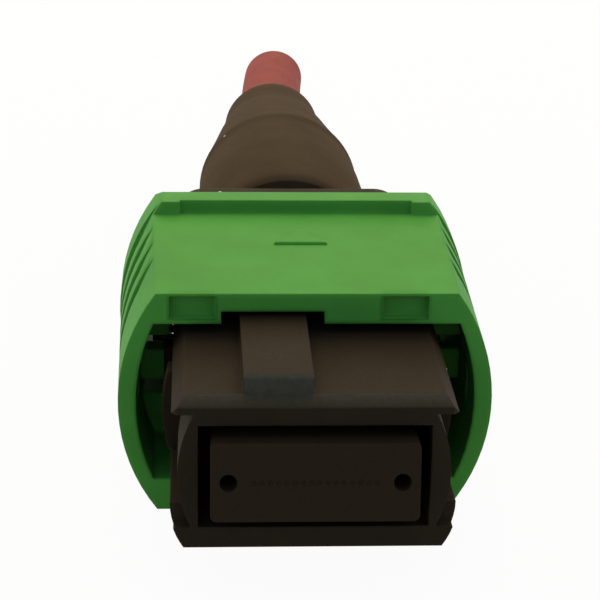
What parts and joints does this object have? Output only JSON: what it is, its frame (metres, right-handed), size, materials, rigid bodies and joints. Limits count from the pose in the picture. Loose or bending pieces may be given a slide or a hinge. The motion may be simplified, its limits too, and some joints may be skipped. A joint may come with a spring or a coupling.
{
  "type": "mpo fibre connector",
  "caption": "Multi-fibre plug with a sloped rectangular ferrule, offset key, sliding spring-loaded coupling sleeve, short boot and a stub of round cable.",
  "frame": {"origin": "centre of the ferrule's end face, on the row of fibres", "axes": "+Y from the mating face to the cable, +Z towards the key, +X to the right seen from the front with the key up"},
  "size_m": [0.0128, 0.0477, 0.0086],
  "materials": {
    "green_housing": "satin moulded",
    "black_housing": "satin moulded",
    "ferrule_resin": "fine polished",
    "soft_black": "matt",
    "crimp_metal": "drawn, satin",
    "spring_steel": "bright drawn wire",
    "cable_sheath": "matt extruded",
    "yarn": "fibrous",
    "coat_blue": "glossy",
    "coat_orange": "glossy",
    "coat_green": "glossy",
    "coat_brown": "glossy",
    "coat_slate": "glossy",
    "coat_white": "glossy",
    "coat_red": "glossy",
    "coat_black": "glossy",
    "coat_yellow": "glossy",
    "coat_violet": "glossy",
    "coat_rose": "glossy",
    "coat_aqua": "glossy",
    "coat_olive": "glossy",
    "coat_magenta": "glossy",
    "coat_tan": "glossy",
    "coat_lime": "glossy"
  },
  "bodies": {
    "plug_body": {"inner_housing": "black_housing", "spring_push": "black_housing", "crimp_ring": "crimp_metal", "boot": "soft_black", "cable_jacket": "cable_sheath", "aramid_yarn": "yarn", "main_spring": "spring_steel", "coupling_spring_left": "spring_steel", "coupling_spring_right": "spring_steel", "fibre_01": "coat_blue", "fibre_02": "coat_orange", "fibre_03": "coat_green", "fibre_04": "coat_brown", "fibre_05": "coat_slate", "fibre_06": "coat_white", "fibre_07": "coat_red", "fibre_08": "coat_black", "fibre_09": "coat_yellow", "fibre_10": "coat_violet", "fibre_11": "coat_rose", "fibre_12": "coat_aqua", "fibre_13": "coat_olive", "fibre_14": "coat_magenta", "fibre_15": "coat_tan", "fibre_16": "coat_lime"},
    "coupling_sleeve": {"outer_housing": "green_housing"},
    "floating_ferrule": {"mt_ferrule": "ferrule_resin", "pin_keeper": "ferrule_resin", "ferrule_boot": "soft_black"}
  },
  "joints": [
    {"name": "sleeve_pull", "type": "slide", "parent": "plug_body", "child": "coupling_sleeve", "axis": [0, 1, 0], "range_m": [0, 0.002], "stiffness_N_per_m": 600, "springref_m": -0.0001, "deforming": ["coupling_spring_left", "coupling_spring_right"]},
    {"name": "ferrule_float", "type": "slide", "parent": "plug_body", "child": "floating_ferrule", "axis": [0, 1, 0], "range_m": [0, 0.0008], "stiffness_N_per_m": 1000, "springref_m": -0.00005, "deforming": ["main_spring", "fibre_01", "fibre_02", "fibre_03", "fibre_04", "fibre_05", "fibre_06", "fibre_07", "fibre_08", "fibre_09", "fibre_10", "fibre_11", "fibre_12", "fibre_13", "fibre_14", "fibre_15", "fibre_16"]}
  ]
}
